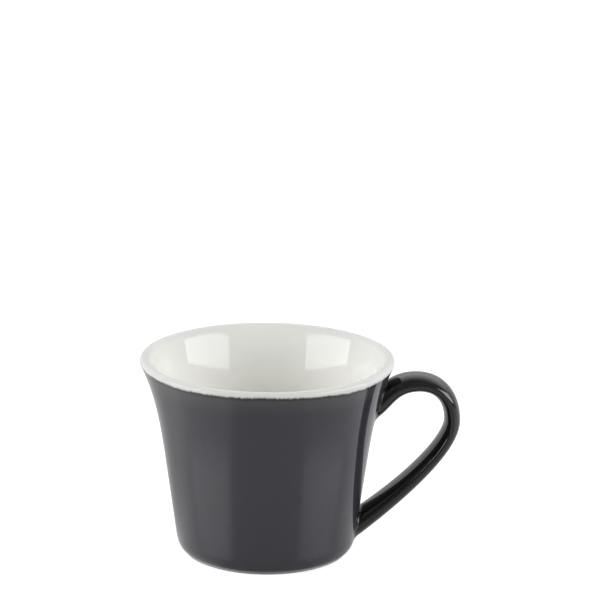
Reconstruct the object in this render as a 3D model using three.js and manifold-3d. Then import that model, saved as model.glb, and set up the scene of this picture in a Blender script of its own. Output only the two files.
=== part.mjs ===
// An espresso cup. A cast stoneware bowl stands on a turned foot ring, and a looped handle is luted to it with slip at
// two roots. White glaze lines the bowl and its lip, dark grey glaze coats the wall and the handle, and a last coat
// fills the recess under the foot. The foot ring's rest face stays bare clay.
// Millimetres, +Z up. The cup stands on z = 0 with its handle along +X, and the origin lies under the middle of its box.
import * as THREE from "three";
import { mergeVertices } from "three/addons/utils/BufferGeometryUtils.js";
import Module from "manifold-3d";

// Bowl, finished sizes with the glaze on
const HEIGHT = 55.5;
const RIM_DIAMETER = 70;
const LIP_ROLL = 2.7; // round of the lip on its inside
const LIP_EDGE = 1.1; // round of the lip on its outside
const WALL_THICKNESS = 3.3;
const FLOOR_THICKNESS = 4.2;
const FLARE_OVERHANG = 7.05; // how far the lip stands out past the top of the straight wall
const FLARE_DROP = 29; // the straight wall ends this far below the rim
const FLARE_ANGLE = THREE.MathUtils.degToRad(25.7); // lean of the lip from upright
const HEEL_DIAMETER = 49.7; // where the wall starts to turn under
const HEEL_HEIGHT = 4.8;
const INNER_CORNER = 9; // round between the floor and the wall, inside

// Foot ring
const FOOT_INSET = 2.3; // from the heel in to the ring
const FOOT_HEIGHT = 1.2;
const FOOT_WIDTH = 3.4;
const FOOT_CHAMFER = 0.2;
const DRY_FOOT = 0.3; // bare height left above the table
const RECESS_DEPTH = 1.5;
const RECESS_FILLET = 1.4;

// Handle, clay sizes
const UPPER_ROOT_DROP = 13.7; // below the rim
const LOWER_ROOT_HEIGHT = 7.3; // above the table
const CROWN_OUT = 11.25; // out from the upper root
const CROWN_DROP = 7.4; // below the rim
const BEND_OUT = 21; // out from the upper root
const BEND_DROP = 18.4; // below the rim
const HANDLE_THICKNESS = 3.6;
const HANDLE_WIDTH = 9.75;
const UPPER_SWELL = 1.5; // more thickness at the upper root
const UPPER_SWELL_LENGTH = 33.5;
const LOWER_SWELL = 1.7;
const LOWER_SWELL_LENGTH = 45;
const ROOT_SPREAD = 1.4; // more width at both roots
const UPPER_RISE = THREE.MathUtils.degToRad(40.8); // the upper root's climb out of the wall
const LOWER_RISE = THREE.MathUtils.degToRad(36.4); // the lower root's climb out of the wall
const ROOT_PULL = 3.75; // how long the handle keeps its direction at the upper root
const CROWN_PULL = 6.35; // how long it stays level at its crown
const BEND_PULL = 6.2; // how long it stays upright above its outermost bend
const FALL_PULL = 7.9; // how long it stays upright below that bend
const LOWER_PULL = 14.25; // how long it keeps its direction at the lower root

// Glaze, slip and the gap between pieces cut to fit each other
const GLAZE = 0.4;
const SLIP_THICKNESS = 0.8;
const SLIP_SQUEEZE = 0.7; // slip pressed out past the root on every side
const FIT_GAP = 0.3;

// Facets
const TURNS = 40;
const CURVE_STEPS = 4;
const HANDLE_SIDES = 12;
const HANDLE_STEPS = 36;

const UP = new THREE.Vector3(0, 0, 1);
const SIDEWAYS = new THREE.Vector3(0, 1, 0);
const wasm = await Module();
wasm.setup();

const clay = new THREE.MeshStandardMaterial({ color: 0xd9d3c4, roughness: 0.85, metalness: 0 });
const slip = new THREE.MeshStandardMaterial({ color: 0xcfc8b8, roughness: 0.85, metalness: 0 });
const whiteGlaze = new THREE.MeshStandardMaterial({ color: 0xe2e2dc, roughness: 0.12, metalness: 0 });
const greyGlaze = new THREE.MeshStandardMaterial({ color: 0x46474a, roughness: 0.1, metalness: 0 });

// Solids for cutting and joining
function solidOf(geometry) {
  const bare = geometry.clone();
  bare.deleteAttribute("normal");
  bare.deleteAttribute("uv");
  const merged = mergeVertices(bare);
  return new wasm.Manifold(
    new wasm.Mesh({
      numProp: 3,
      vertProperties: merged.attributes.position.array,
      triVerts: new Uint32Array(merged.index.array),
    }),
  );
}

function geometryOf(solid) {
  const mesh = solid.getMesh();
  const geometry = new THREE.BufferGeometry();
  geometry.setAttribute("position", new THREE.BufferAttribute(mesh.vertProperties, 3));
  geometry.setIndex(new THREE.BufferAttribute(mesh.triVerts, 1));
  geometry.computeVertexNormals();
  return geometry;
}

// A solid of revolution about Z, from points of radius and height that run clockwise round its section
function turned(points) {
  return new THREE.LatheGeometry([...points].reverse(), TURNS).rotateX(Math.PI / 2);
}

// The bowl's clay section, from the middle of the floor up the inside, over the lip, down the outside and under the foot
const lipRoll = LIP_ROLL - GLAZE;
const lipEdge = LIP_EDGE - GLAZE;
const rollCentre = new THREE.Vector2(RIM_DIAMETER / 2 - LIP_EDGE, HEIGHT - LIP_ROLL);
const edgeCentre = new THREE.Vector2(RIM_DIAMETER / 2 - LIP_EDGE, HEIGHT - LIP_EDGE);
const heelPoint = new THREE.Vector2(HEEL_DIAMETER / 2 - GLAZE, HEEL_HEIGHT);
const wallTop = new THREE.Vector2(
  RIM_DIAMETER / 2 - FLARE_OVERHANG - GLAZE,
  HEIGHT - FLARE_DROP,
);
const wallUp = wallTop.clone().sub(heelPoint).normalize();
const wallIn = new THREE.Vector2(-wallUp.y, wallUp.x);
const wallClay = WALL_THICKNESS - 2 * GLAZE;
const innerTop = wallTop.clone().addScaledVector(wallIn, wallClay);
const floorTop = RECESS_DEPTH + FLOOR_THICKNESS - GLAZE;
const recessTop = RECESS_DEPTH + GLAZE;
const footOuter = heelPoint.x - FOOT_INSET;
const footInner = footOuter - FOOT_WIDTH;

// A point of the inner wall line at a height
function innerWallAt(height) {
  return innerTop.clone().addScaledVector(wallUp, (height - innerTop.y) / wallUp.y);
}

// A cubic curve that leaves one point along one direction and meets another along a second one
function fair(start, leaving, end, arriving) {
  const pull = start.distanceTo(end) / 3;
  return new THREE.CubicBezierCurve(
    start,
    start.clone().addScaledVector(leaving, pull),
    end.clone().addScaledVector(arriving, -pull),
    end,
  );
}

function bowlLines() {
  const lipUp = new THREE.Vector2(Math.sin(FLARE_ANGLE), Math.cos(FLARE_ANGLE));
  const lipOut = new THREE.Vector2(lipUp.y, -lipUp.x);
  const lipInside = rollCentre.clone().addScaledVector(lipOut, -lipRoll);
  const lipOutside = edgeCentre.clone().addScaledVector(lipOut, lipEdge);
  const corner = innerWallAt(floorTop);
  const cornerTop = innerWallAt(floorTop + INNER_CORNER);
  const liner = new THREE.Path();
  liner.moveTo(0, floorTop);
  liner.lineTo(corner.x - INNER_CORNER, floorTop);
  liner.quadraticCurveTo(corner.x, corner.y, cornerTop.x, cornerTop.y);
  liner.lineTo(innerTop.x, innerTop.y);
  liner.curves.push(fair(innerTop, wallUp, lipInside, lipUp));
  liner.currentPoint.copy(lipInside);
  liner.absarc(rollCentre.x, rollCentre.y, lipRoll, Math.PI - FLARE_ANGLE, Math.PI / 2, true);
  liner.absarc(edgeCentre.x, edgeCentre.y, lipEdge, Math.PI / 2, 0, true);

  const wall = new THREE.Path();
  wall.moveTo(edgeCentre.x + lipEdge, edgeCentre.y);
  wall.lineTo(lipOutside.x, lipOutside.y);
  wall.curves.push(fair(lipOutside, lipUp.clone().negate(), wallTop, wallUp.clone().negate()));
  wall.currentPoint.copy(wallTop);
  wall.lineTo(heelPoint.x, heelPoint.y);
  const underHeel = heelPoint.x - (wallUp.x / wallUp.y) * (HEEL_HEIGHT - FOOT_HEIGHT);
  wall.quadraticCurveTo(underHeel, FOOT_HEIGHT, footOuter, FOOT_HEIGHT);
  wall.lineTo(footOuter, DRY_FOOT);

  const foot = new THREE.Path();
  foot.moveTo(footOuter, DRY_FOOT);
  foot.lineTo(footOuter, FOOT_CHAMFER);
  foot.lineTo(footOuter - FOOT_CHAMFER, 0);
  foot.lineTo(footInner + FOOT_CHAMFER, 0);
  foot.lineTo(footInner, FOOT_CHAMFER);
  foot.lineTo(footInner, DRY_FOOT);

  const base = new THREE.Path();
  base.moveTo(footInner, DRY_FOOT);
  base.quadraticCurveTo(footInner, recessTop, footInner - RECESS_FILLET, recessTop);
  base.lineTo(0, recessTop);
  return [liner, wall, foot, base].map((line) => line.getPoints(CURVE_STEPS));
}

// The same line moved out of the clay by a distance, square to the surface
function movedOut(points, distance) {
  const sides = points.slice(1).map((end, i) => {
    const along = end.clone().sub(points[i]).normalize();
    return new THREE.Vector2(-along.y, along.x);
  });
  return points.map((point, i) => {
    const before = sides[Math.max(i - 1, 0)];
    const after = sides[Math.min(i, sides.length - 1)];
    const mitre = before.clone().add(after).divideScalar(1 + before.dot(after));
    return point.clone().addScaledVector(mitre, distance);
  });
}

const [linerLine, wallLine, footLine, baseLine] = bowlLines();
const clayLine = [
  ...linerLine,
  ...wallLine.slice(1),
  ...footLine.slice(1),
  ...baseLine.slice(1),
];
const glazeLine = movedOut(clayLine, GLAZE);
const glazeEdge = linerLine.length - 1; // where white meets grey on the lip
const footEdge = glazeEdge + wallLine.length - 1;
const baseEdge = footEdge + footLine.length - 1;

// A coat of glaze over part of the bowl's clay line, as a lathe line that starts and ends on the axis or closes on itself
function coat(from, to) {
  const outer = glazeLine.slice(from, to + 1);
  const inner = clayLine.slice(from, to + 1).reverse();
  if (from === 0) {
    return [...outer, ...inner];
  }
  if (to === clayLine.length - 1) {
    return [...inner, ...outer];
  }
  return [...outer, ...inner, outer[0]];
}

// The bowl's outside filled solid and grown by a distance, for cutting what seats on the wall
function bowlPlug(distance) {
  const outside = movedOut(wallLine, distance);
  const top = outside[0];
  const bottom = outside[outside.length - 1];
  return solidOf(
    turned([new THREE.Vector2(0, top.y), ...outside, new THREE.Vector2(0, bottom.y)]),
  );
}

// A point on the wall's clay at a height, in the handle's plane
function onWall(height) {
  const i = wallLine.findIndex((point) => point.y <= height);
  const above = wallLine[i - 1];
  const below = wallLine[i];
  const share = (height - below.y) / (above.y - below.y);
  return new THREE.Vector3(below.x + share * (above.x - below.x), 0, height);
}

// Handle centre line
const upperRoot = onWall(HEIGHT - UPPER_ROOT_DROP);
const lowerRoot = onWall(LOWER_ROOT_HEIGHT);
const crown = new THREE.Vector3(upperRoot.x + CROWN_OUT, 0, HEIGHT - CROWN_DROP);
const bend = new THREE.Vector3(upperRoot.x + BEND_OUT, 0, HEIGHT - BEND_DROP);
const upperWay = new THREE.Vector3(Math.cos(UPPER_RISE), 0, Math.sin(UPPER_RISE));
const lowerWay = new THREE.Vector3(Math.cos(LOWER_RISE), 0, Math.sin(LOWER_RISE));
const outward = new THREE.Vector3(1, 0, 0);
const buried = HANDLE_THICKNESS + UPPER_SWELL; // how far the path runs on inside the wall, before it is cut

function moved(point, way, distance) {
  return point.clone().addScaledVector(way, distance);
}

function handlePath() {
  const path = new THREE.CurvePath();
  const upperStart = moved(upperRoot, upperWay, -buried);
  const lowerEnd = moved(lowerRoot, lowerWay, -buried);
  path.add(new THREE.LineCurve3(upperStart, upperRoot));
  path.add(
    new THREE.CubicBezierCurve3(
      upperRoot,
      moved(upperRoot, upperWay, ROOT_PULL),
      moved(crown, outward, -CROWN_PULL),
      crown,
    ),
  );
  path.add(
    new THREE.CubicBezierCurve3(
      crown,
      moved(crown, outward, CROWN_PULL),
      moved(bend, UP, BEND_PULL),
      bend,
    ),
  );
  path.add(
    new THREE.CubicBezierCurve3(
      bend,
      moved(bend, UP, -FALL_PULL),
      moved(lowerRoot, lowerWay, LOWER_PULL),
      lowerRoot,
    ),
  );
  path.add(new THREE.LineCurve3(lowerRoot, lowerEnd));
  return path;
}

const path = handlePath();
const pathLength = path.getLength();

// How much of a root's swell is left at a distance from the wall
function swell(distance, length) {
  const left = 1 - THREE.MathUtils.clamp(distance / length, 0, 1);
  return left * left;
}

// Half the handle's thickness and width at a place along it
function sectionAt(along) {
  const upper = swell(along - buried, UPPER_SWELL_LENGTH);
  const lower = swell(pathLength - buried - along, LOWER_SWELL_LENGTH);
  return {
    thick: (HANDLE_THICKNESS + UPPER_SWELL * upper + LOWER_SWELL * lower) / 2,
    wide: (HANDLE_WIDTH + ROOT_SPREAD * (upper + lower)) / 2,
  };
}

// A closed tube along the handle, made by bending a lathe whose height runs from 0 to 1 along the path.
// Its radius is a share of the section up to 1, and past that 1 plus a distance out from the section's face.
function alongHandle(points) {
  const geometry = new THREE.LatheGeometry([...points].reverse(), HANDLE_SIDES);
  const position = geometry.attributes.position;
  const vertex = new THREE.Vector3();
  for (let i = 0; i < position.count; i += 1) {
    vertex.fromBufferAttribute(position, i);
    const share = THREE.MathUtils.clamp(vertex.y, 0, 1);
    const radius = Math.hypot(vertex.x, vertex.z);
    const turn = Math.atan2(vertex.x, vertex.z);
    const half = sectionAt(share * pathLength);
    const across = new THREE.Vector3().crossVectors(SIDEWAYS, path.getTangentAt(share));
    const face = new THREE.Vector2(
      Math.cos(turn) / half.thick,
      Math.sin(turn) / half.wide,
    ).normalize();
    const inside = Math.min(radius, 1);
    const outside = Math.max(radius - 1, 0);
    const place = path.getPointAt(share);
    place.addScaledVector(across, inside * half.thick * Math.cos(turn) + outside * face.x);
    place.addScaledVector(SIDEWAYS, inside * half.wide * Math.sin(turn) + outside * face.y);
    position.setXYZ(i, place.x, place.y, place.z);
  }
  return geometry;
}

// A solid bar along a share of the path, out to a radius
function handleBar(from, to, radius) {
  const line = [new THREE.Vector2(0, to)];
  for (let i = HANDLE_STEPS; i >= 0; i -= 1) {
    line.push(new THREE.Vector2(radius, from + ((to - from) * i) / HANDLE_STEPS));
  }
  line.push(new THREE.Vector2(0, from));
  return solidOf(alongHandle(line));
}

// Pieces
const rootShare = (2 * buried) / pathLength; // as far out of the wall as into it
const slipOut = FIT_GAP + SLIP_THICKNESS;

function cupBody() {
  return turned(clayLine);
}

function handleCore() {
  return geometryOf(handleBar(0, 1, 1).subtract(bowlPlug(slipOut + FIT_GAP)));
}

function handleCoat() {
  const shell = handleBar(0, 1, 1 + GLAZE).subtract(handleBar(0, 1, 1));
  return geometryOf(shell.subtract(bowlPlug(slipOut + FIT_GAP)));
}

// A pad of slip on the wall, under one root
function slipPad(from, to) {
  const squeezed = handleBar(from, to, 1 + SLIP_SQUEEZE);
  return geometryOf(squeezed.intersect(bowlPlug(slipOut)).subtract(bowlPlug(FIT_GAP)));
}

function wallCoat() {
  const cut = 1 + SLIP_SQUEEZE + FIT_GAP;
  const upper = handleBar(0, rootShare, cut);
  const lower = handleBar(1 - rootShare, 1, cut);
  const whole = solidOf(turned(coat(glazeEdge, footEdge)));
  return geometryOf(whole.subtract(upper).subtract(lower));
}

const pieces = [
  ["cup_body", cupBody(), clay],
  ["handle", handleCore(), clay],
  ["upper_slip_joint", slipPad(0, rootShare), slip],
  ["lower_slip_joint", slipPad(1 - rootShare, 1), slip],
  ["liner_glaze", turned(coat(0, glazeEdge)), whiteGlaze],
  ["wall_glaze", wallCoat(), greyGlaze],
  ["base_glaze", turned(coat(baseEdge, clayLine.length - 1)), greyGlaze],
  ["handle_glaze", handleCoat(), greyGlaze],
];

const cup = new THREE.Group();
for (const [name, geometry, material] of pieces) {
  const mesh = new THREE.Mesh(geometry, material);
  mesh.name = name;
  cup.add(mesh);
}
const box = new THREE.Box3().setFromObject(cup);
cup.position.x = -(box.min.x + box.max.x) / 2;

const part = new THREE.Group();
part.add(cup);
export default part;
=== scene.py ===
"""An espresso cup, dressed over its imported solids.

The clay bowl, its three coats of glaze, the glazed handle and the slip under it are made from the sizes
in the panel. The handle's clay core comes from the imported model, hidden under the glaze, and only gets
a finish.
"""

import math

import bmesh
import bpy
import numpy as np
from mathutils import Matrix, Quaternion, Vector


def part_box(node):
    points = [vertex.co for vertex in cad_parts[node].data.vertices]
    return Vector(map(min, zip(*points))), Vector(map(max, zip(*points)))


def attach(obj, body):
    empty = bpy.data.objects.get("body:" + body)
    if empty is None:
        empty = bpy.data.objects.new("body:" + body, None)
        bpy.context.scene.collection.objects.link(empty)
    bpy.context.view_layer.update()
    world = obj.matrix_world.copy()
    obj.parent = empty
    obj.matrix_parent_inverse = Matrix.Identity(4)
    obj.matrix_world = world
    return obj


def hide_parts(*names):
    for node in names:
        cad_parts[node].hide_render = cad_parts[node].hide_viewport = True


bl_info = {
    "name": "Espresso cup",
    "version": (1, 0, 0),
    "blender": (4, 5, 0),
    "location": "View3D > Sidebar > Espresso cup",
    "description": "Builds a glazed espresso cup and the studio it stands in",
    "category": "Add Mesh",
}

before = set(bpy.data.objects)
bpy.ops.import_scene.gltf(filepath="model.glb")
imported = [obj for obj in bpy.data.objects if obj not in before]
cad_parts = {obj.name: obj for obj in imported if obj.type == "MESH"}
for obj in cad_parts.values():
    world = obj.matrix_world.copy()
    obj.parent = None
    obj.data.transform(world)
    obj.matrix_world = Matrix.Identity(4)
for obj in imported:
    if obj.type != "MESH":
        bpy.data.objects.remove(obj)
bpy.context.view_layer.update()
LINER_LOW, LINER_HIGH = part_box("liner_glaze")
MM = 0.001

# Facets
TURNS = 360
CLAY_TURNS = 144
CURVE_STEPS = 20
STRAIGHT_STEPS = 16
EDGE_STEPS = 8
HANDLE_SIDES = 64
HANDLE_STEPS = 150
FILLET_STEPS = 10
PAD_SIDES = 32
PATH_STEPS = 240
SCREEN_STEPS = 48
SHARP_ANGLE = math.radians(38)

# The handle's roots: rounds of the search for the wall, the step over which the wall's lean is taken, and
# how far a root's round dips into the wall
SEARCH_ROUNDS = 40
LEAN_STEP = 0.05 * MM
TOE_SINK = 0.02 * MM

# The pads of slip lie this far in and out of the wall's face, and fill this share of the handle's section
PAD_DEPTHS = np.array([-0.3, 0.1, 0.5]) * MM
PAD_SHARE = 0.85

# Unevenness of a glaze's colour, its roughness, the strength of its ripple, and how much it bends light
WHITE_SURFACE = {"mottle": 0.03, "roughness": 0.045, "ripple": 0.06, "bending": 1.345}
GREY_SURFACE = {"mottle": 0.12, "roughness": 0.07, "ripple": 0.10, "bending": 1.5}
RIPPLE_DEPTH = 0.1 * MM
GLOSS_SPREAD = (0.8, 1.25)
STREAK_SCALE = (1700.0, 1700.0, 260.0)

# Clay: its grain, the size and cover of its specks and how dark they are, and how much it bends light
GRAIN_STRENGTH = 0.5
GRAIN_DEPTH = 0.08 * MM
GRAIN_SCALE = 4200.0
GRAIN_SHADES = (0.85, 1.1)
GRAIN_ROUGHNESS = (0.75, 0.95)
SPECK_SIZES = (0.08, 0.2)
SPECK_COVER = (0.6, 0.0)
SPECK_SHADE = 0.45
CLAY_BENDING = 1.5

# The middle part of a noise's values
NOISE_SPAN = (0.3, 0.7)

# Where the glazes change and where painted light and shade lie on the white glaze, in millimetres past the
# edge of the white glaze, and how far streaks fray the edge
LIP_ZONE = (-3.6, -1.8)
DEEP_LIGHT_ZONE = (-7.0, -22.0)
PALE_ZONE = (1.8, 7.0)
THIN_ZONE = (0.1, 1.25)
FRAY_ZONE = (-0.55, 0.25)
FRAY_REACH = 1.1
FAR_PAST_EDGE = 50.0

# Heights between which the painted reflection of the floor on the foot ring gives way to the wall's glaze
FLOOR_REFLECTION_HEIGHTS = (0.9 * MM, 1.5 * MM)

# The floor, and how its glow in the glaze changes with the direction from the cup: axis, from and to, glow
FLOOR_REACH = 4.0
FLOOR_ROUGHNESS = 0.18
FLOOR_SIDES = (
    ("X", (-0.45, -0.70), "left_glow"),
    ("X", (0.45, 0.65), "right_glow"),
    ("Y", (0.0, 0.6), "back_glow"),
)

# The dome round the stage: its radius, where its front turns into its back, and how bright its back is from
# the floor up, as a share of the radius and a share of the light. The shades were fitted first, then changed.
SCREEN_REACH = 1.7
BACK_SPAN = (0.08, 0.5)
BACK_SHADES = ((0.0, 0.45), (0.31, 0.55), (0.5, 1.0), (0.74, 0.78), (0.93, 0.25), (1.0, 0.07))

# The camera's sensor in millimetres, and the nearest that it sees in metres
SENSOR_WIDTH = 36.0
NEAR_CLIP = 0.01

# The edge between the white and the grey glaze rises and falls: height in metres, waves round the cup, phase.
# The first four waves were fitted to the line in the photo and rounded, and the others are made up
EDGE_WAVES = (
    (0.34 * MM, 1, 2.4),
    (0.21 * MM, 2, 3.0),
    (0.39 * MM, 3, 0.2),
    (0.13 * MM, 5, -0.3),
    (0.05 * MM, 13, 0.7),
    (0.04 * MM, 23, 2.1),
    (0.04 * MM, 37, 4.4),
)


def number(name, description, default, **more):
    """A number of the panel."""
    return bpy.props.FloatProperty(name=name, description=description, default=default, **more)


def length(name, description, default):
    """A size in metres."""
    return number(name, description, default, subtype="DISTANCE", unit="LENGTH", precision=5)


def angle(name, description, degrees):
    """An angle, given here in degrees."""
    return number(name, description, math.radians(degrees), subtype="ANGLE", unit="ROTATION")


def share(name, description, default):
    """A share from 0 to 1."""
    return number(name, description, default, subtype="FACTOR", min=0.0, max=1.0)


def brightness(name, description, default):
    """A brightness, where 1 is white."""
    return number(name, description, default, subtype="FACTOR", min=0.0, soft_max=10.0)


def colour(name, description, default):
    """A linear colour."""
    return bpy.props.FloatVectorProperty(
        name=name, description=description, default=default, subtype="COLOR", size=3, min=0.0, max=1.0
    )


class BowlSizes(bpy.types.PropertyGroup):
    """Sizes of the bowl and its foot, with the glaze on."""

    axis: length("Axis", "Place of the bowl's axis along X", (LINER_LOW.x + LINER_HIGH.x) / 2)
    height: length("Height", "From the table to the top of the lip", LINER_HIGH.z)
    rim_diameter: length("Rim diameter", "Across the lip", LINER_HIGH.x - LINER_LOW.x)
    lip_roll: length("Lip roll", "Round of the lip on its inside", 2.7 * MM)
    lip_edge: length("Lip edge", "Round of the lip on its outside", 1.1 * MM)
    wall_thickness: length("Wall thickness", "Across the straight wall", 3.3 * MM)
    floor_thickness: length("Floor thickness", "From the recess to the inside", 4.2 * MM)
    flare_overhang: length("Flare overhang", "Lip past the top of the straight wall", 7.05 * MM)
    flare_drop: length("Flare drop", "From the rim down to the straight wall", 29 * MM)
    flare_angle: angle("Flare angle", "Lean of the lip from upright", 25.7)
    heel_diameter: length("Heel diameter", "Where the wall starts to turn under", 49.7 * MM)
    heel_height: length("Heel height", "Where the wall starts to turn under", 4.8 * MM)
    inner_corner: length("Inner corner", "Round between the floor and the wall", 9 * MM)
    foot_inset: length("Foot inset", "From the heel in to the foot ring", 2.3 * MM)
    foot_height: length("Foot height", "Height of the foot ring", 1.2 * MM)
    foot_width: length("Foot width", "Width of the foot ring", 3.4 * MM)
    foot_chamfer: length("Foot chamfer", "Bevel of the rest face", 0.2 * MM)
    dry_foot: length("Dry foot", "Bare clay above the table", 0.3 * MM)
    recess_depth: length("Recess depth", "Under the floor, inside the foot ring", 1.5 * MM)
    recess_fillet: length("Recess fillet", "Round inside the foot ring", 1.4 * MM)
    glaze: length("Glaze", "Thickness of every coat of glaze", 0.4 * MM)
    edge_height: length("Glaze edge", "Mean height at which white glaze meets grey", 54.6 * MM)


class HandleSizes(bpy.types.PropertyGroup):
    """Sizes of the handle's clay, under its glaze."""

    upper_root_drop: length("Upper root drop", "Below the rim", 13.7 * MM)
    lower_root_height: length("Lower root height", "Above the table", 7.3 * MM)
    crown_out: length("Crown out", "Out from the upper root", 11.25 * MM)
    crown_drop: length("Crown drop", "Below the rim", 7.4 * MM)
    bend_out: length("Bend out", "Out from the upper root", 21 * MM)
    bend_drop: length("Bend drop", "Below the rim", 18.4 * MM)
    thickness: length("Thickness", "Across the handle, in its own plane", 3.6 * MM)
    width: length("Width", "Across the handle, square to its plane", 9.75 * MM)
    upper_swell: length("Upper swell", "More thickness at the upper root", 1.5 * MM)
    upper_swell_length: length("Upper swell length", "How far that runs out", 33.5 * MM)
    lower_swell: length("Lower swell", "More thickness at the lower root", 1.7 * MM)
    lower_swell_length: length("Lower swell length", "How far that runs out", 45 * MM)
    root_spread: length("Root spread", "More width at both roots", 1.4 * MM)
    upper_rise: angle("Upper rise", "Climb out of the wall at the upper root", 40.8)
    lower_rise: angle("Lower rise", "Climb out of the wall at the lower root", 36.4)
    root_pull: length("Root pull", "How long the upper root keeps its way", 3.75 * MM)
    crown_pull: length("Crown pull", "How long the crown stays level", 6.35 * MM)
    bend_pull: length("Bend pull", "How long it stays upright above the bend", 6.2 * MM)
    fall_pull: length("Fall pull", "How long it stays upright below the bend", 7.9 * MM)
    lower_pull: length("Lower pull", "How long the lower root keeps its way", 14.25 * MM)
    fillet: length("Root fillet", "Reach of the round where the handle meets the wall", 1.6 * MM)


class Finishes(bpy.types.PropertyGroup):
    """Colours of the clay, slip and glazes."""

    white_glaze: colour("White glaze", "Inside of the bowl", (0.756, 0.754, 0.727))
    # Painted light: the white glaze low in the bowl is made whiter to lift the shade that falls there
    deep_painted_light: colour("Deep painted light", "White glaze lightened low in the bowl, as painted light", (0.91, 0.913, 0.864))
    # Partly real thin glaze over the lip, partly painted shade: the lip's colour is darkened beyond what
    # thinning gives
    thin_white_and_shade: colour("Lip glaze and shade", "White glaze thinning over the lip, darkened with painted shade", (0.718, 0.725, 0.705))
    grey_glaze: colour("Grey glaze", "Wall and recess", (0.034, 0.0345, 0.044))
    handle_glaze: colour("Handle glaze", "Thicker grey glaze on the handle", (0.0125, 0.0114, 0.0108))
    pale_glaze: colour("Pale grey glaze", "Grey glaze a little way under the lip", (0.055, 0.055, 0.061))
    thin_glaze: colour("Thin grey glaze", "Grey glaze along its upper edge", (0.022, 0.021, 0.0145))
    # Painted reflection: the foot ring's grey glaze is lightened where it would mirror the bright floor
    floor_reflection_on_foot: colour("Floor reflection on foot", "Painted reflection of the bright floor on the foot ring's grey glaze", (0.33, 0.335, 0.345))
    clay: colour("Clay", "Bare clay of the foot", (0.52, 0.47, 0.39))
    slip: colour("Slip", "Slip that joins the handle to the wall", (0.47, 0.42, 0.34))


class StageLook(bpy.types.PropertyGroup):
    """The floor, the lamps and the camera."""

    floor: colour("Floor", "Pale floor", (0.60, 0.60, 0.60))
    front_screen: brightness("Front screen", "Brightness of the screen in front of the cup", 0.25)
    back_screen: brightness("Back screen", "Brightness of the screen behind the cup", 1.6)
    floor_glow: share("Floor glow", "Whiteness added to the floor where it is looked at", 0.74)
    front_glow: share("Front glow", "Whiteness added to the floor before the cup, in the glaze", 0.16)
    left_glow: share("Left glow", "Whiteness added to the floor left of the cup, in the glaze", 0.56)
    right_glow: share("Right glow", "Whiteness added to the floor right of the cup, in the glaze", 0.28)
    back_glow: share("Back glow", "Whiteness added to the floor behind the cup, in the glaze", 0.15)
    floor_gloss: share("Floor gloss", "Share of the lamps that the floor mirrors into the glaze", 0.12)
    lamp_radiance: brightness("Lamp radiance", "Brightness of the two soft boxes, where 1 is white", 6.0)
    lamp_distance: length("Lamp distance", "From the cup to each soft box, square to it", 0.9)
    lamp_face: angle("Lamp face", "Round from the camera to the way that each soft box faces", 57)
    lamp_near: angle("Lamp near edge", "Round from the camera to each soft box's near edge", 44)
    lamp_far: angle("Lamp far edge", "Round from the camera to each soft box's far edge", 97)
    lamp_low: angle("Lamp low edge", "Height of each soft box's lower edge", 8.5)
    lamp_high: angle("Lamp high edge", "Height of each soft box's upper edge", 32.5)
    camera_distance: length("Camera distance", "From the camera to the bowl", 1.0)
    camera_side: angle("Camera side", "Round from the front towards the handle", -2.8)
    camera_rise: angle("Camera rise", "Above the table", 17.979)
    look_up: angle("Look up", "Aim above the bowl", 2.4255)
    look_right: angle("Look right", "Aim past the bowl, towards the handle", 0.5091)
    roll: angle("Roll", "Tilt of the camera", 0.495)
    lens: number("Lens", "Focal length", 216.77, min=1.0, subtype="DISTANCE_CAMERA", unit="CAMERA")


class CupSettings(bpy.types.PropertyGroup):
    """Everything about the cup that can be changed."""

    bowl: bpy.props.PointerProperty(type=BowlSizes, name="Bowl", description="Sizes of the bowl")
    handle: bpy.props.PointerProperty(type=HandleSizes, name="Handle", description="Sizes of the handle")
    finish: bpy.props.PointerProperty(type=Finishes, name="Finish", description="Colours of the cup")
    stage: bpy.props.PointerProperty(type=StageLook, name="Stage", description="Floor, lamps and camera")


# Lines and curves

def unit(vector):
    """The same way, one long."""
    return vector / np.linalg.norm(vector, axis=-1, keepdims=True)


def straight(start, end, steps):
    """Points along a straight line, or even steps from one set of values to another."""
    part = np.linspace(0.0, 1.0, steps + 1)[:, None]
    return start + (end - start) * part


def whole_turn(steps):
    """Angles that go once round."""
    return np.linspace(0.0, 2 * math.pi, steps, endpoint=False)


def quadratic(start, control, end, steps):
    """Points along a quadratic curve. The ends may be whole rings of points."""
    part = np.linspace(0.0, 1.0, steps + 1).reshape((-1,) + (1,) * np.ndim(start))
    return (1 - part) ** 2 * start + 2 * part * (1 - part) * control + part**2 * end


def cubic(start, leave, arrive, end, steps):
    """Points along a cubic curve."""
    part = np.linspace(0.0, 1.0, steps + 1)[:, None]
    rest = 1 - part
    return rest**3 * start + 3 * rest**2 * part * leave + 3 * rest * part**2 * arrive + part**3 * end


def fair(start, leaving, end, arriving, steps):
    """A cubic that leaves one point along one way and meets another along a second one."""
    pull = np.linalg.norm(end - start) / 3
    return cubic(start, start + leaving * pull, end - arriving * pull, end, steps)


def arc(centre, radius, first, last, steps):
    """Points round part of a circle."""
    turn = np.linspace(first, last, steps + 1)
    return centre + radius * np.stack([np.cos(turn), np.sin(turn)], axis=-1)


def joined(first, *others):
    """Several lines end to end, each starting where the one before it stops."""
    return np.concatenate([first] + [line[1:] for line in others])


def run_length(line):
    """Distance along a line to each of its points."""
    steps = np.linalg.norm(np.diff(line, axis=0), axis=-1)
    return np.concatenate([[0.0], np.cumsum(steps)])


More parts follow.
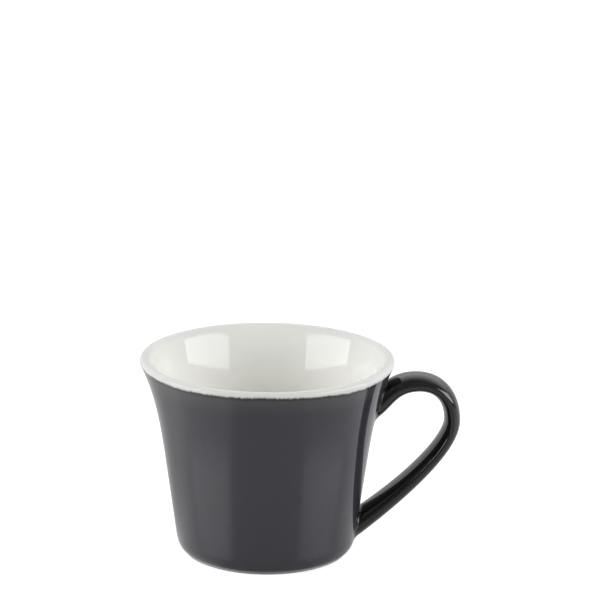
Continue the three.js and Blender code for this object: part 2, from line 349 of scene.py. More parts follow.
def moved_out(line, distance):
    """The line moved out of the clay, square to the surface, by a distance for each point."""
    along = unit(np.diff(line, axis=0))
    side = np.stack([-along[:, 1], along[:, 0]], axis=-1)
    before = np.concatenate([side[:1], side])
    after = np.concatenate([side, side[-1:]])
    mitre = (before + after) / (1 + np.sum(before * after, axis=-1, keepdims=True))
    return line + mitre * np.asarray(distance).reshape(-1, 1)


def line_at(line, place):
    """Points of a line at places counted in its own points, which may lie between two of them."""
    count = np.arange(len(line))
    return np.stack([np.interp(place, count, line[:, i]) for i in range(line.shape[1])], axis=-1)


class BowlSection:
    """The bowl's clay and finished lines: up the inside, over the lip, down the wall and under the foot."""

    def __init__(self, bowl):
        liner, wall, foot, base = self.clay_lines(bowl)
        self.axis = bowl.axis
        self.clay = joined(liner, wall, foot, base)
        # Points of the line at the top of the lip, and where the liner, the wall and the bare foot end
        self.crown = int(np.argmax(self.clay[:, 1]))
        self.lip = len(liner) - 1
        self.foot = self.lip + len(wall) - 1
        self.base = self.foot + len(foot) - 1
        self.outside = np.arange(self.crown, self.foot - EDGE_STEPS)[::-1]
        self.finished = moved_out(self.clay, np.full(len(self.clay), bowl.glaze))
        self.wall = self.clay[self.lip : self.foot + 1]
        self.run = run_length(self.finished)

    @staticmethod
    def clay_lines(bowl):
        """The clay's line in four parts: inside, under the wall's coat, bare foot and recess."""
        lip_roll = bowl.lip_roll - bowl.glaze
        lip_edge = bowl.lip_edge - bowl.glaze
        rim = bowl.rim_diameter / 2
        crown = rim - bowl.lip_edge
        roll_centre = np.array([crown, bowl.height - bowl.lip_roll])
        edge_centre = np.array([crown, bowl.height - bowl.lip_edge])
        heel = np.array([bowl.heel_diameter / 2 - bowl.glaze, bowl.heel_height])
        wall_top = np.array([rim - bowl.flare_overhang - bowl.glaze, bowl.height - bowl.flare_drop])
        wall_up = unit(wall_top - heel)
        wall_in = np.array([-wall_up[1], wall_up[0]])
        inner_top = wall_top + wall_in * (bowl.wall_thickness - 2 * bowl.glaze)
        floor_top = bowl.recess_depth + bowl.floor_thickness - bowl.glaze
        recess_top = bowl.recess_depth + bowl.glaze
        foot_outer = heel[0] - bowl.foot_inset
        foot_inner = foot_outer - bowl.foot_width
        dry = bowl.dry_foot
        chamfer = bowl.foot_chamfer
        lean = bowl.flare_angle
        lip_up = np.array([math.sin(lean), math.cos(lean)])
        lip_out = np.array([lip_up[1], -lip_up[0]])
        lip_inside = roll_centre - lip_out * lip_roll
        lip_outside = edge_centre + lip_out * lip_edge

        def inner_wall(height):
            return inner_top + wall_up * (height - inner_top[1]) / wall_up[1]

        corner = inner_wall(floor_top)
        corner_top = inner_wall(floor_top + bowl.inner_corner)
        corner_start = np.array([corner[0] - bowl.inner_corner, floor_top])
        liner = joined(
            straight(np.array([0.0, floor_top]), corner_start, STRAIGHT_STEPS),
            quadratic(corner_start, corner, corner_top, CURVE_STEPS),
            straight(corner_top, inner_top, STRAIGHT_STEPS),
            fair(inner_top, wall_up, lip_inside, lip_up, CURVE_STEPS),
            arc(roll_centre, lip_roll, math.pi - lean, math.pi / 2, CURVE_STEPS),
            arc(edge_centre, lip_edge, math.pi / 2, 0.0, CURVE_STEPS),
        )
        under_heel = heel[0] - wall_up[0] / wall_up[1] * (bowl.heel_height - bowl.foot_height)
        foot_top = np.array([foot_outer, bowl.foot_height])
        wall = joined(
            arc(edge_centre, lip_edge, 0.0, -lean, CURVE_STEPS // 2),
            fair(lip_outside, -lip_up, wall_top, -wall_up, CURVE_STEPS * 2),
            straight(wall_top, heel, STRAIGHT_STEPS),
            quadratic(heel, np.array([under_heel, bowl.foot_height]), foot_top, CURVE_STEPS),
            straight(foot_top, np.array([foot_outer, dry]), EDGE_STEPS),
        )
        outer_side = [[foot_outer, dry], [foot_outer, chamfer], [foot_outer - chamfer, 0.0]]
        inner_side = [[foot_inner + chamfer, 0.0], [foot_inner, chamfer], [foot_inner, dry]]
        foot = np.array(outer_side + inner_side)
        recess_edge = np.array([foot_inner - bowl.recess_fillet, recess_top])
        base = joined(
            quadratic(foot[-1], np.array([foot_inner, recess_top]), recess_edge, CURVE_STEPS),
            straight(recess_edge, np.array([0.0, recess_top]), EDGE_STEPS),
        )
        return liner, wall, foot, base

    def place_at_height(self, height):
        """Where the finished outside is at a height, counted in points of the line."""
        return np.interp(height, self.finished[self.outside, 1], self.outside)

    def wall_radius(self, height):
        """Radius of the finished wall at a height."""
        return np.interp(height, self.finished[self.outside, 1], self.finished[self.outside, 0])

    def clay_wall_at(self, height):
        """A point of the wall's clay at a height, in the handle's plane."""
        return np.array([np.interp(height, self.wall[::-1, 1], self.wall[::-1, 0]), 0.0, height])


# Meshes

def linked(name, data):
    """A new object of the scene."""
    piece = bpy.data.objects.new(name, data)
    bpy.context.scene.collection.objects.link(piece)
    return piece


def sheet(name, points, faces):
    """A new object with a plain mesh."""
    mesh = bpy.data.meshes.new(name)
    mesh.from_pydata(points, [], faces)
    return linked(name, mesh)


def skin(name, rings, start=None, end=None, closed=False):
    """A smooth piece over rings of points, with a point at each end, or closed on itself."""
    count, around = rings.shape[:2]
    points = rings.reshape(-1, 3).tolist()
    ring = np.arange(around)
    following = np.roll(ring, -1)
    faces = []
    for i in range(count if closed else count - 1):
        low = i * around
        high = (i + 1) % count * around
        faces += np.stack([low + ring, low + following, high + following, high + ring], axis=-1).tolist()
    for pole, first in ((start, 0), (end, (count - 1) * around)):
        if pole is not None:
            points.append(list(pole))
            tip = np.full(around, len(points) - 1)
            faces += np.stack([tip, first + ring, first + following], axis=-1).tolist()
    piece = sheet(name, points, faces)
    mesh = piece.data
    work = bmesh.new()
    work.from_mesh(mesh)
    bmesh.ops.recalc_face_normals(work, faces=work.faces)
    work.to_mesh(mesh)
    work.free()
    mesh.shade_smooth()
    mesh.set_sharp_from_angle(angle=SHARP_ANGLE)
    return piece


def turned(axis, section, turns):
    """Rings of points about the bowl's axis. The section may differ from turn to turn."""
    turn = whole_turn(turns)
    if section.ndim == 2:
        section = np.repeat(section[:, None], turns, axis=1)
    radius = section[..., 0]
    return np.stack([axis + radius * np.cos(turn), radius * np.sin(turn), section[..., 1]], axis=-1)


def note_depth(piece, depth):
    """Keeps, on every point, how far it lies past the edge of the white glaze, in millimetres."""
    kept = piece.data.attributes.new("below_edge", "FLOAT", "POINT")
    kept.data.foreach_set("value", np.asarray(depth, np.float32).ravel())


def placed(piece, finish, slot, *nodes):
    """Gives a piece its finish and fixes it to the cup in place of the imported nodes."""
    piece.data.materials.append(finish)
    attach(piece, "root")
    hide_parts(*nodes)


def glaze_edge(bowl, section, turns):
    """Where white glaze meets grey at each turn, counted in points of the section."""
    from_front = whole_turn(turns) + math.pi / 2
    height = np.full(turns, bowl.edge_height)
    for rise, waves, phase in EDGE_WAVES:
        height += rise * np.cos(waves * from_front + phase)
    return section.place_at_height(height)


def coat_sides(section, places):
    """Rings of a coat's face at places on the section, and of its back from the last place to the first."""
    face = turned(section.axis, line_at(section.finished, places), TURNS)
    back = turned(section.axis, line_at(section.clay, places), TURNS)
    return face, back[::-1]


def past_edge(section, places, edge):
    """How far places on the section lie past the edge of the white glaze, in millimetres."""
    run = section.run[:, None]
    return (line_at(run, places)[..., 0] - line_at(run, edge)[..., 0]) / MM


class HandleForm:
    """The glazed handle: its centre line, its oval section and the rounds where it meets the wall."""

    def __init__(self, settings):
        self.handle = settings.handle
        self.section = BowlSection(settings.bowl)
        self.glaze = settings.bowl.glaze
        self.buried = self.handle.thickness + self.handle.upper_swell
        self.line = self.centre_line(settings.bowl.height)
        self.run = run_length(self.line)
        self.way = unit(np.gradient(self.line, self.run, axis=0))

    def centre_line(self, rim):
        """Points from inside the wall at the upper root round to inside the wall at the lower root."""
        handle = self.handle
        upper = self.section.clay_wall_at(rim - handle.upper_root_drop)
        lower = self.section.clay_wall_at(handle.lower_root_height)
        crown = np.array([upper[0] + handle.crown_out, 0.0, rim - handle.crown_drop])
        bend = np.array([upper[0] + handle.bend_out, 0.0, rim - handle.bend_drop])
        upper_way = np.array([math.cos(handle.upper_rise), 0.0, math.sin(handle.upper_rise)])
        lower_way = np.array([math.cos(handle.lower_rise), 0.0, math.sin(handle.lower_rise)])
        out = np.array([1.0, 0.0, 0.0])
        up = np.array([0.0, 0.0, 1.0])
        legs = (
            (upper, upper + upper_way * handle.root_pull, crown - out * handle.crown_pull, crown),
            (crown, crown + out * handle.crown_pull, bend + up * handle.bend_pull, bend),
            (bend, bend - up * handle.fall_pull, lower + lower_way * handle.lower_pull, lower),
        )
        return joined(
            straight(upper - upper_way * self.buried, upper, PATH_STEPS),
            *(cubic(*leg, PATH_STEPS) for leg in legs),
            straight(lower, lower - lower_way * self.buried, PATH_STEPS),
        )

    def at(self, along, values):
        """What the line's values are at distances along it."""
        return np.stack([np.interp(along, self.run, values[:, i]) for i in range(3)], axis=-1)

    def surface(self, along, turn):
        """Points of the finished surface and the ways it faces, at distances along the line and turns."""
        handle = self.handle
        centre = self.at(along, self.line)
        way = unit(self.at(along, self.way))
        upper = self.swell(along - self.buried, handle.upper_swell_length)
        lower = self.swell(self.run[-1] - self.buried - along, handle.lower_swell_length)
        thick = (handle.thickness + handle.upper_swell * upper + handle.lower_swell * lower) / 2
        wide = (handle.width + handle.root_spread * (upper + lower)) / 2
        across = np.stack([way[..., 2], np.zeros_like(along), -way[..., 0]], axis=-1)
        sideways = np.array([0.0, 1.0, 0.0])
        face = unit(np.stack([np.cos(turn) / thick, np.sin(turn) / wide], axis=-1))
        facing = across * face[..., :1] + sideways * face[..., 1:]
        point = centre + across * (thick * np.cos(turn))[..., None]
        point = point + sideways * (wide * np.sin(turn))[..., None]
        return point + facing * self.glaze, facing

    @staticmethod
    def swell(distance, reach):
        """How much of a root's swell is left at a distance from the wall."""
        return (1 - np.clip(distance / reach, 0.0, 1.0)) ** 2

    def outside_wall(self, point):
        """How far points stand outside the finished wall."""
        return np.hypot(point[..., 0], point[..., 1]) - self.section.wall_radius(point[..., 2])

    def wall_crossing(self, turn, first, last):
        """Distances along the line at which the surface comes out of the wall, searched from inside out."""
        inside = np.full_like(turn, first)
        outside = np.full_like(turn, last)
        for _ in range(SEARCH_ROUNDS):
            middle = (inside + outside) / 2
            point, _facing = self.surface(middle, turn)
            out = self.outside_wall(point) > 0
            inside = np.where(out, inside, middle)
            outside = np.where(out, middle, outside)
        return (inside + outside) / 2

    def wall_facing(self, point):
        """The ways the finished wall faces at points on it."""
        above = self.section.wall_radius(point[..., 2] + LEAN_STEP)
        lean = above - self.section.wall_radius(point[..., 2] - LEAN_STEP)
        flat = np.hypot(point[..., 0], point[..., 1])
        slope = -lean / (2 * LEAN_STEP)
        return unit(np.stack([point[..., 0] / flat, point[..., 1] / flat, slope], axis=-1))

    def root(self, turn, crossing, onward):
        """Rings from inside the wall out along one root's fillet, and where on the line the fillet ends."""
        reach = self.handle.fillet
        corner, facing = self.surface(crossing, turn)
        leave = crossing + onward * reach
        top, _facing = self.surface(leave, turn)
        wall = self.wall_facing(corner)
        away = unit(facing - wall * np.sum(facing * wall, axis=-1, keepdims=True))
        toe = corner + away * reach
        flat = np.hypot(toe[..., 0], toe[..., 1])
        sunk = self.section.wall_radius(toe[..., 2]) - TOE_SINK
        toe[..., :2] *= (sunk / flat)[..., None]
        rings = quadratic(toe, corner, top, FILLET_STEPS)
        buried = toe - self.wall_facing(toe) * self.glaze / 2
        return np.concatenate([buried[None], rings]), leave

    def crossings(self, turn):
        """Where the upper and the lower root leave the wall, with the way along the line that leads out."""
        middle = self.run[-1] / 2
        return (
            (self.wall_crossing(turn, 0.0, middle), 1),
            (self.wall_crossing(turn, self.run[-1], middle), -1),
        )

    def pads(self):
        """Rings of the pads of slip under the upper and the lower root."""
        turn = whole_turn(PAD_SIDES)
        for crossing, onward in self.crossings(turn):
            along = crossing + onward * PAD_DEPTHS[:, None]
            face, _facing = self.surface(along, np.broadcast_to(turn, along.shape))
            centre = self.at(along, self.line)
            rings = centre + (face - centre) * PAD_SHARE
            rings[..., 0] += self.section.axis
            yield rings

    def rings(self):
        """Every ring of the handle, from inside the wall at the upper root to inside it at the lower one."""
        turn = whole_turn(HANDLE_SIDES)
        upper_crossing, lower_crossing = self.crossings(turn)
        upper, first = self.root(turn, *upper_crossing)
        lower, last = self.root(turn, *lower_crossing)
        along = straight(first, last, HANDLE_STEPS)[1:-1]
        body, _facing = self.surface(along, np.broadcast_to(turn, along.shape))
        rings = np.concatenate([upper, body, lower[::-1]])
        rings[..., 0] += self.section.axis
        return rings


# Finishes: the functions from ranged to object_place add a node and give the socket of its result

def add(tree, kind, links=None, **settings):
    """A new shader node with some of its settings and sockets filled in."""
    node = tree.nodes.new(kind)
    for name, value in settings.items():
        setattr(node, name, value)
    for socket, value in (links or {}).items():
        if isinstance(value, bpy.types.NodeSocket):
            tree.links.new(value, node.inputs[socket])
        else:
            node.inputs[socket].default_value = value
    return node


def rgba(value):
    """A colour with full cover."""
    return (*value, 1.0)


def ranged(tree, value, span, levels=(0.0, 1.0), smooth=True):
    """A value taken from one span to another."""
    ends = dict(zip(("From Min", "From Max", "To Min", "To Max"), (*span, *levels)))
    kind = "SMOOTHSTEP" if smooth else "LINEAR"
    return add(tree, "ShaderNodeMapRange", {"Value": value, **ends}, interpolation_type=kind).outputs[0]


def maths(tree, operation, *values):
    """A sum, product or the like of values."""
    return add(tree, "ShaderNodeMath", dict(enumerate(values)), operation=operation).outputs[0]


def vectors(tree, operation, *values, result="Vector"):
    """The same for vectors, which may also give a value."""
    return add(tree, "ShaderNodeVectorMath", dict(enumerate(values)), operation=operation).outputs[result]


def scaled(tree, tint, amount):
    """A colour times an amount."""
    return add(tree, "ShaderNodeVectorMath", {0: tint, "Scale": amount}, operation="SCALE").outputs["Vector"]


def noise(tree, place, scale, detail, **more):
    """Cloudy noise over a place."""
    sockets = {"Vector": place, "Scale": scale, "Detail": detail, **more}
    return add(tree, "ShaderNodeTexNoise", sockets).outputs["Fac"]


def blended(tree, amount, first, second):
    """One colour over another, by an amount."""
    return add(tree, "ShaderNodeMix", {0: amount, 6: first, 7: second}, data_type="RGBA").outputs[2]


def object_place(tree):
    """The place on the object."""
    return add(tree, "ShaderNodeTexCoord").outputs["Object"]


def new_group(name, inputs):
    """An empty shader group with named inputs, for the colour, roughness and height of a surface."""
    tree = bpy.data.node_groups.new(name, "ShaderNodeTree")
    for label, default in inputs.items():
        kind = "NodeSocketFloat" if isinstance(default, float) else "NodeSocketColor"
        tree.interface.new_socket(label, in_out="INPUT", socket_type=kind).default_value = default
    for label, kind in (("Color", "Color"), ("Roughness", "Float"), ("Height", "Float")):
        tree.interface.new_socket(label, in_out="OUTPUT", socket_type=f"NodeSocket{kind}")
    return tree, tree.nodes.new("NodeGroupInput").outputs


def glaze_surface_group():
    """Glaze that pools and thins as it melts: mottled colour, uneven gloss, and a gently rippled face."""
    name = "Glaze surface"
    if name in bpy.data.node_groups:
        return bpy.data.node_groups[name]
    tree, given = new_group(name, {"Color": (0.5, 0.5, 0.5, 1.0), "Mottle": 0.1, "Gloss roughness": 0.08})
    place = object_place(tree)
    fine = noise(tree, place, scale=1500.0, detail=3.0)
    broad = noise(tree, place, scale=130.0, detail=2.0)
    centred = maths(tree, "SUBTRACT", maths(tree, "ADD", fine, broad), 1.0)
    amount = maths(tree, "MULTIPLY_ADD", centred, given["Mottle"], 1.0)
    uneven = ranged(tree, broad, NOISE_SPAN, GLOSS_SPREAD, smooth=False)
    result = {
        "Color": scaled(tree, given["Color"], amount),
        "Roughness": maths(tree, "MULTIPLY", uneven, given["Gloss roughness"]),
        "Height": noise(tree, place, scale=210.0, detail=1.0),
    }
    add(tree, "NodeGroupOutput", result)
    return tree


def clay_grain_group():
    """Fired clay: fine sandy grain with a few darker specks."""
    name = "Clay grain"
    if name in bpy.data.node_groups:
        return bpy.data.node_groups[name]
    tree, given = new_group(
        name,
        {"Color": (0.5, 0.45, 0.4, 1.0), "Speck color": (0.2, 0.15, 0.1, 1.0), "Grain scale": 4000.0},
    )
    place = object_place(tree)
    grain = noise(tree, place, scale=given["Grain scale"], detail=4.0, Roughness=0.7)
    cells = add(tree, "ShaderNodeTexVoronoi", {"Vector": place, "Scale": 1400.0}).outputs["Distance"]
    specks = ranged(tree, cells, SPECK_SIZES, SPECK_COVER, smooth=False)
    sandy = scaled(tree, given["Color"], ranged(tree, grain, NOISE_SPAN, GRAIN_SHADES, smooth=False))
    result = {
        "Color": blended(tree, specks, sandy, given["Speck color"]),
        "Roughness": ranged(tree, grain, NOISE_SPAN, GRAIN_ROUGHNESS, smooth=False),
        "Height": grain,
    }
    add(tree, "NodeGroupOutput", result)
    return tree


def new_finish(name):
    """A material with an empty tree."""
    finish = bpy.data.materials.new(name)
    finish.use_nodes = True
    tree = finish.node_tree
    tree.nodes.clear()
    return finish, tree


def surfaced(tree, surface, strength, depth, bending):
    """Ends a material: a surface group's sockets on a shader, with bump and with how much it bends light."""
    bump = add(tree, "ShaderNodeBump", {"Height": surface["Height"], "Strength": strength, "Distance": depth})
    look = {"Base Color": surface["Color"], "Roughness": surface["Roughness"], "IOR": bending}
    shader = add(tree, "ShaderNodeBsdfPrincipled", {**look, "Normal": bump.outputs["Normal"]})
    add(tree, "ShaderNodeOutputMaterial", {"Surface": shader.outputs["BSDF"]})


def glazed(tree, base, mottle, roughness, ripple, bending):
    """Ends a glaze material: the shared glaze surface over its colour."""
    given = {"Color": base, "Mottle": mottle, "Gloss roughness": roughness}
    group = add(tree, "ShaderNodeGroup", given, node_tree=glaze_surface_group())
    surfaced(tree, group.outputs, ripple, RIPPLE_DEPTH, bending)


def past_edge_socket(tree):
    """The socket of how far a point lies past the edge of the white glaze, as note_depth kept it."""
    return add(tree, "ShaderNodeAttribute", attribute_name="below_edge").outputs["Fac"]


def white_glaze_finish(finishes):
    """White glaze, cooler where it thins over the lip and darkened there with painted shade, and whiter low
    in the bowl as painted light.
    """
    finish, tree = new_finish("white glaze")
    depth = past_edge_socket(tree)
    # painted light that lifts the shade low in the bowl
    deep = ranged(tree, depth, DEEP_LIGHT_ZONE)
    bowl = blended(tree, deep, rgba(finishes.white_glaze), rgba(finishes.deep_painted_light))
    # the lip's band: thin glaze, darkened further with painted shade
    base = blended(tree, ranged(tree, depth, LIP_ZONE), bowl, rgba(finishes.thin_white_and_shade))
    glazed(tree, base, **WHITE_SURFACE)
    return finish


def grey_glaze_finish(finishes):
    """Dark grey glaze, paler under the lip, with a painted reflection of the bright floor on the foot. Its
    upper edge thins and frays into the white.
    """
    finish, tree = new_finish("grey glaze")
    place = object_place(tree)
    depth = past_edge_socket(tree)
    stretched = add(tree, "ShaderNodeMapping", {"Vector": place, "Scale": STREAK_SCALE})
    streaks = noise(tree, stretched.outputs["Vector"], scale=1.0, detail=2.0)
    frayed = maths(tree, "MULTIPLY_ADD", streaks, -FRAY_REACH, depth)
    height = add(tree, "ShaderNodeSeparateXYZ", {"Vector": place}).outputs["Z"]
    base = rgba(finishes.grey_glaze)
    for value, zone, over in (
        (depth, PALE_ZONE, finishes.pale_glaze),
        # painted reflection of the bright floor on the foot ring
        (height, FLOOR_REFLECTION_HEIGHTS, finishes.floor_reflection_on_foot),
        (frayed, THIN_ZONE, finishes.thin_glaze),
        # the frayed edge takes the lip's colour, which carries painted shade
        (frayed, FRAY_ZONE, finishes.thin_white_and_shade),
    ):
        base = blended(tree, ranged(tree, value, zone, (1.0, 0.0)), base, rgba(over))
    glazed(tree, base, **GREY_SURFACE)
    return finish


def handle_glaze_finish(finishes):
    """The same glaze, thicker and darker on the handle."""
    finish, tree = new_finish("handle glaze")
    glazed(tree, rgba(finishes.handle_glaze), **GREY_SURFACE)
    return finish


def clay_finish(name, base):
    """Bare fired clay or slip, made once for all pieces that share it."""
    if name in bpy.data.materials:
        return bpy.data.materials[name]
    finish, tree = new_finish(name)
    specks = [SPECK_SHADE * part for part in base]
    given = {"Color": rgba(base), "Speck color": rgba(specks), "Grain scale": GRAIN_SCALE}
    group = add(tree, "ShaderNodeGroup", given, node_tree=clay_grain_group())
    surfaced(tree, group.outputs, GRAIN_STRENGTH, GRAIN_DEPTH, CLAY_BENDING)
    return finish


def floor_finish(stage, axis):
    """Pale matt floor, white where it is looked at. In the glaze it glows by sides and mirrors the lamps."""
    finish, tree = new_finish("pale floor")
    path = add(tree, "ShaderNodeLightPath").outputs
    seen = maths(tree, "MAXIMUM", path["Is Camera Ray"], path["Is Transmission Ray"])
    out = vectors(tree, "SUBTRACT", object_place(tree), (axis, 0.0, 0.0))
    way = vectors(tree, "NORMALIZE", out)
    parts = add(tree, "ShaderNodeSeparateXYZ", {"Vector": way}).outputs
    mirrored = stage.front_glow
    for part, span, level in FLOOR_SIDES:
        mirrored = ranged(tree, parts[part], span, (mirrored, getattr(stage, level)))
    in_glaze = maths(tree, "MULTIPLY", path["Is Glossy Ray"], mirrored)
    glow = maths(tree, "MULTIPLY_ADD", seen, stage.floor_glow, in_glaze)
    matt = add(tree, "ShaderNodeBsdfDiffuse", {"Color": rgba(stage.floor)})
    light = add(tree, "ShaderNodeEmission", {"Strength": glow})
    lit = add(tree, "ShaderNodeAddShader", {0: matt.outputs[0], 1: light.outputs[0]})
    mirror = add(tree, "ShaderNodeBsdfGlossy", {"Roughness": FLOOR_ROUGHNESS})
    amount = maths(tree, "MULTIPLY", path["Is Glossy Ray"], stage.floor_gloss)
    whole = add(tree, "ShaderNodeMixShader", {0: amount, 1: lit.outputs[0], 2: mirror.outputs[0]})
    add(tree, "ShaderNodeOutputMaterial", {"Surface": whole.outputs[0]})
    return finish


def screen_finish(stage):
    """Lit cloth of the screen: dim in front, and lit behind the cup, most of all some way up."""
    finish, tree = new_finish("screen")
    place = object_place(tree)
    height = vectors(tree, "DOT_PRODUCT", place, (0.0, 0.0, 1 / SCREEN_REACH), result="Value")
    shades = add(tree, "ShaderNodeValToRGB", {"Fac": height})
    stops = shades.color_ramp.elements
    for at, _shade in BACK_SHADES[1:-1]:
        stops.new(at)
    for stop, (_at, shade) in zip(stops, BACK_SHADES):
        stop.color = rgba([shade] * 3)
    back = maths(tree, "MULTIPLY", shades.outputs["Color"], stage.back_screen)
    way = vectors(tree, "NORMALIZE", vectors(tree, "MULTIPLY", place, (1.0, 1.0, 0.0)))
    behind = add(tree, "ShaderNodeSeparateXYZ", {"Vector": way}).outputs["Y"]
    strength = ranged(tree, behind, BACK_SPAN, (stage.front_screen, back))
    light = add(tree, "ShaderNodeEmission", {"Strength": strength})
    add(tree, "ShaderNodeOutputMaterial", {"Surface": light.outputs[0]})
    return finish


# Operators

class CUP_OT_bowl_clay(bpy.types.Operator):
    """Add the clay bowl, from the inside of its floor to its bare foot ring"""

    bl_idname = "espresso_cup.bowl_clay"
    bl_label = "Clay bowl"

    def execute(self, context):
        settings = context.scene.espresso_cup
        section = BowlSection(settings.bowl)
        rings = turned(section.axis, section.clay, CLAY_TURNS)
        piece = skin("bowl_clay", rings[1:-1], rings[0, 0], rings[-1, 0])
        placed(piece, clay_finish("bare clay", settings.finish.clay), "clay", "cup_body")
        return {"FINISHED"}


class CUP_OT_bowl_glazes(bpy.types.Operator):
    """Add the bowl's coats of glaze: white inside and over the lip, grey on the wall and in the recess"""

    bl_idname = "espresso_cup.bowl_glazes"
    bl_label = "Bowl glazes"

    def execute(self, context):
        settings = context.scene.espresso_cup
        section = BowlSection(settings.bowl)
        edge = glaze_edge(settings.bowl, section, TURNS)
        white = white_glaze_finish(settings.finish)
        grey = grey_glaze_finish(settings.finish)
        placed(self.liner(section, edge), white, "white_glaze", "liner_glaze")
        placed(self.wall(section, edge), grey, "grey_glaze", "wall_glaze")
        placed(self.base(section), grey, "grey_glaze", "base_glaze")
        return {"FINISHED"}

    @staticmethod
    def liner(section, edge):
        """White glaze from the middle of the floor up over the lip to the edge."""
        inside = np.repeat(np.arange(section.crown)[:, None], TURNS, axis=1)
        places = np.concatenate([inside, straight(section.crown, edge, EDGE_STEPS)])
        face, back = coat_sides(section, places)
        piece = skin("liner", np.concatenate([face[1:], back[:-1]]), face[0, 0], back[-1, 0])
        run = past_edge(section, places, edge)
        ends = [run[0, 0], run[0, 0]]
        note_depth(piece, np.concatenate([run[1:].ravel(), run[::-1][:-1].ravel(), ends]))
        return piece

    @staticmethod
    def wall(section, edge):
        """Grey glaze from the edge under the lip down to the bare foot."""
        below = math.ceil(edge.max()) + EDGE_STEPS
        rest = np.repeat(np.arange(below + 1, section.foot + 1)[:, None], TURNS, axis=1)
        places = np.concatenate([straight(edge, below, EDGE_STEPS), rest])
        face, back = coat_sides(section, places)
        piece = skin("wall_coat", np.concatenate([face, back]), closed=True)
        run = past_edge(section, places, edge)
        note_depth(piece, np.concatenate([run, run[::-1]]))
        return piece

    @staticmethod
    def base(section):
        """Grey glaze in the recess under the floor."""
        face = turned(section.axis, section.finished[section.base :], CLAY_TURNS)
        back = turned(section.axis, section.clay[section.base :], CLAY_TURNS)[::-1]
        rings = np.concatenate([face[:-1][::-1], back[1:][::-1]])
        piece = skin("base_coat", rings, face[-1, 0], back[0, 0])
        note_depth(piece, np.full(len(piece.data.vertices), FAR_PAST_EDGE))
        return piece


class CUP_OT_handle_coat(bpy.types.Operator):
    """Add the glazed handle, with the rounds that run out onto the wall at both roots"""

    bl_idname = "espresso_cup.handle_coat"
    bl_label = "Glazed handle"

    def execute(self, context):
        settings = context.scene.espresso_cup
        rings = HandleForm(settings).rings()
        piece = skin("handle_coat", rings, rings[0].mean(axis=0), rings[-1].mean(axis=0))
        placed(piece, handle_glaze_finish(settings.finish), "grey_glaze", "handle_glaze")
        return {"FINISHED"}


class CUP_OT_slip_pads(bpy.types.Operator):
    """Add the two pads of slip that hold the handle's roots to the wall, under the glaze"""

    bl_idname = "espresso_cup.slip_pads"
    bl_label = "Slip pads"

    def execute(self, context):
        settings = context.scene.espresso_cup
        slip = clay_finish("dried slip", settings.finish.slip)
        for name, rings in zip(("upper_slip", "lower_slip"), HandleForm(settings).pads()):
            piece = skin(name, rings, rings[0].mean(axis=0), rings[-1].mean(axis=0))
            placed(piece, slip, "slip", f"{name}_joint")
        return {"FINISHED"}


class CUP_OT_handle_core(bpy.types.Operator):
    """Give the handle's clay core its finish"""

    bl_idname = "espresso_cup.handle_core"
    bl_label = "Handle core"

    def execute(self, context):
        clay = clay_finish("bare clay", context.scene.espresso_cup.finish.clay)
        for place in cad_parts["handle"].material_slots:
            place.material = clay
        return {"FINISHED"}


def from_cup(side, rise):
    """A way out from the cup: round from the front towards the handle, and up."""
    return Vector((math.sin(side) * math.cos(rise), -math.cos(side) * math.cos(rise), math.sin(rise)))


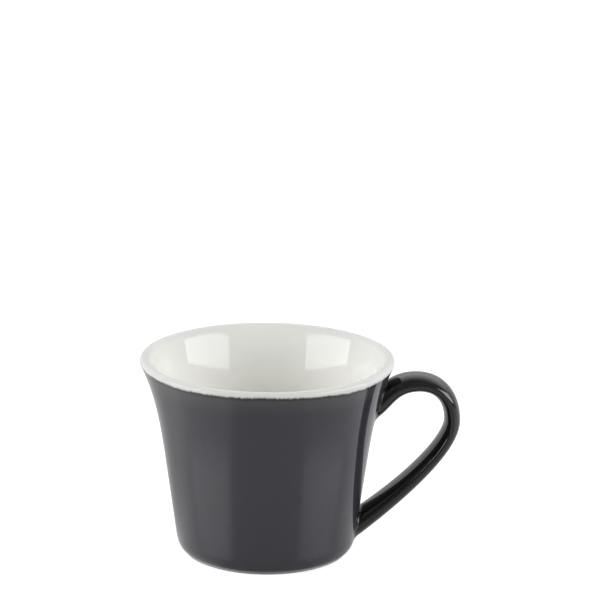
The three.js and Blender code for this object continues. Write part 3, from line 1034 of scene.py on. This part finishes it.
class CUP_OT_stage(bpy.types.Operator):
    """Add the floor, the two soft boxes, the screen round them and the camera"""

    bl_idname = "espresso_cup.stage"
    bl_label = "Stage"

    def execute(self, context):
        settings = context.scene.espresso_cup
        middle = Vector((settings.bowl.axis, 0.0, settings.bowl.height / 2))
        self.floor(settings.stage, settings.bowl.axis)
        self.screen(settings.stage)
        for name, way in (("left soft box", -1), ("right soft box", 1)):
            self.lamp(name, way, settings.stage, middle)
        self.camera(settings.stage, middle)
        self.surroundings(context.scene)
        return {"FINISHED"}

    @staticmethod
    def floor(stage, axis):
        """A wide pale floor."""
        corners = [(x * FLOOR_REACH, y * FLOOR_REACH, 0.0) for x, y in ((-1, -1), (1, -1), (1, 1), (-1, 1))]
        floor = sheet("floor", corners, [(0, 1, 2, 3)])
        floor.data.materials.append(floor_finish(stage, axis))

    @staticmethod
    def screen(stage):
        """A dome of cloth over the stage, that the camera looks through."""
        row = SCREEN_STEPS + 1
        sides = np.linspace(-math.pi, math.pi, row)
        rises = np.linspace(0.0, math.pi / 2, SCREEN_STEPS // 2 + 1)
        points = [tuple(from_cup(side, rise) * SCREEN_REACH) for rise in rises for side in sides]
        faces = [
            (i * row + j, i * row + j + 1, (i + 1) * row + j + 1, (i + 1) * row + j)
            for i in range(len(rises) - 1)
            for j in range(SCREEN_STEPS)
        ]
        screen = sheet("screen", points, faces)
        screen.data.materials.append(screen_finish(stage))
        screen.visible_camera = False

    @staticmethod
    def lamp(name, way, stage, middle):
        """A soft box to one side of the camera, that faces across the front of the cup."""
        reach = stage.lamp_distance
        near, far = (reach * math.tan(edge - stage.lamp_face) for edge in (stage.lamp_near, stage.lamp_far))
        low, high = (reach * math.tan(edge) for edge in (stage.lamp_low, stage.lamp_high))
        light = bpy.data.lights.new(name, "AREA")
        light.shape = "RECTANGLE"
        light.size = far - near
        light.size_y = high - low
        light.energy = stage.lamp_radiance * math.pi * light.size * light.size_y
        lamp = linked(name, light)
        out = from_cup(stage.camera_side + way * stage.lamp_face, 0.0)
        along = Vector((-out.y, out.x, 0.0)) * way
        up = Vector((0.0, 0.0, 1.0))
        lamp.location = middle + out * reach + along * (near + far) / 2 + up * (low + high) / 2
        lamp.rotation_mode = "QUATERNION"
        lamp.rotation_quaternion = (-out).to_track_quat("-Z", "Y")
        lamp.visible_camera = False

    @staticmethod
    def camera(stage, middle):
        """A long lens in front of the cup, a little above it and aimed past it."""
        lens = bpy.data.cameras.new("camera")
        lens.sensor_width = SENSOR_WIDTH
        lens.lens = stage.lens
        lens.clip_start = NEAR_CLIP
        camera = linked("camera", lens)
        out = from_cup(stage.camera_side, stage.camera_rise)
        camera.location = middle + out * stage.camera_distance
        camera.rotation_mode = "QUATERNION"
        camera.rotation_quaternion = (
            (-out).to_track_quat("-Z", "Y")
            @ Quaternion((1.0, 0.0, 0.0), stage.look_up)
            @ Quaternion((0.0, 1.0, 0.0), -stage.look_right)
            @ Quaternion((0.0, 0.0, 1.0), stage.roll)
        )
        bpy.context.scene.camera = camera

    @staticmethod
    def surroundings(scene):
        """White all round, behind the screen."""
        world = bpy.data.worlds.new("studio")
        world.use_nodes = True
        world.node_tree.nodes["Background"].inputs["Color"].default_value = rgba((1.0, 1.0, 1.0))
        scene.world = world
        scene.view_settings.view_transform = "Standard"


class CUP_PT_sidebar(bpy.types.Panel):
    """The cup's sizes, colours and steps"""

    bl_idname = "CUP_PT_sidebar"
    bl_label = "Espresso cup"
    bl_space_type = "VIEW_3D"
    bl_region_type = "UI"
    bl_category = "Espresso cup"

    def draw(self, context):
        settings = context.scene.espresso_cup
        for step in STEPS:
            self.layout.operator(step.bl_idname)
        for group in (settings.bowl, settings.handle, settings.finish, settings.stage):
            box = self.layout.box()
            for name in group.__annotations__:
                box.prop(group, name)


STEPS = (
    CUP_OT_bowl_clay,
    CUP_OT_bowl_glazes,
    CUP_OT_handle_coat,
    CUP_OT_slip_pads,
    CUP_OT_handle_core,
    CUP_OT_stage,
)
CLASSES = (BowlSizes, HandleSizes, Finishes, StageLook, CupSettings, *STEPS, CUP_PT_sidebar)


def register():
    for kind in CLASSES:
        bpy.utils.register_class(kind)
    bpy.types.Scene.espresso_cup = bpy.props.PointerProperty(
        type=CupSettings, name="Espresso cup", description="Sizes and colours of the cup"
    )


def unregister():
    del bpy.types.Scene.espresso_cup
    for kind in reversed(CLASSES):
        bpy.utils.unregister_class(kind)


def main():
    register()
    bpy.ops.espresso_cup.bowl_clay()
    bpy.ops.espresso_cup.bowl_glazes()
    bpy.ops.espresso_cup.handle_coat()
    bpy.ops.espresso_cup.slip_pads()
    bpy.ops.espresso_cup.handle_core()
    bpy.ops.espresso_cup.stage()


if __name__ == "__main__":
    main()
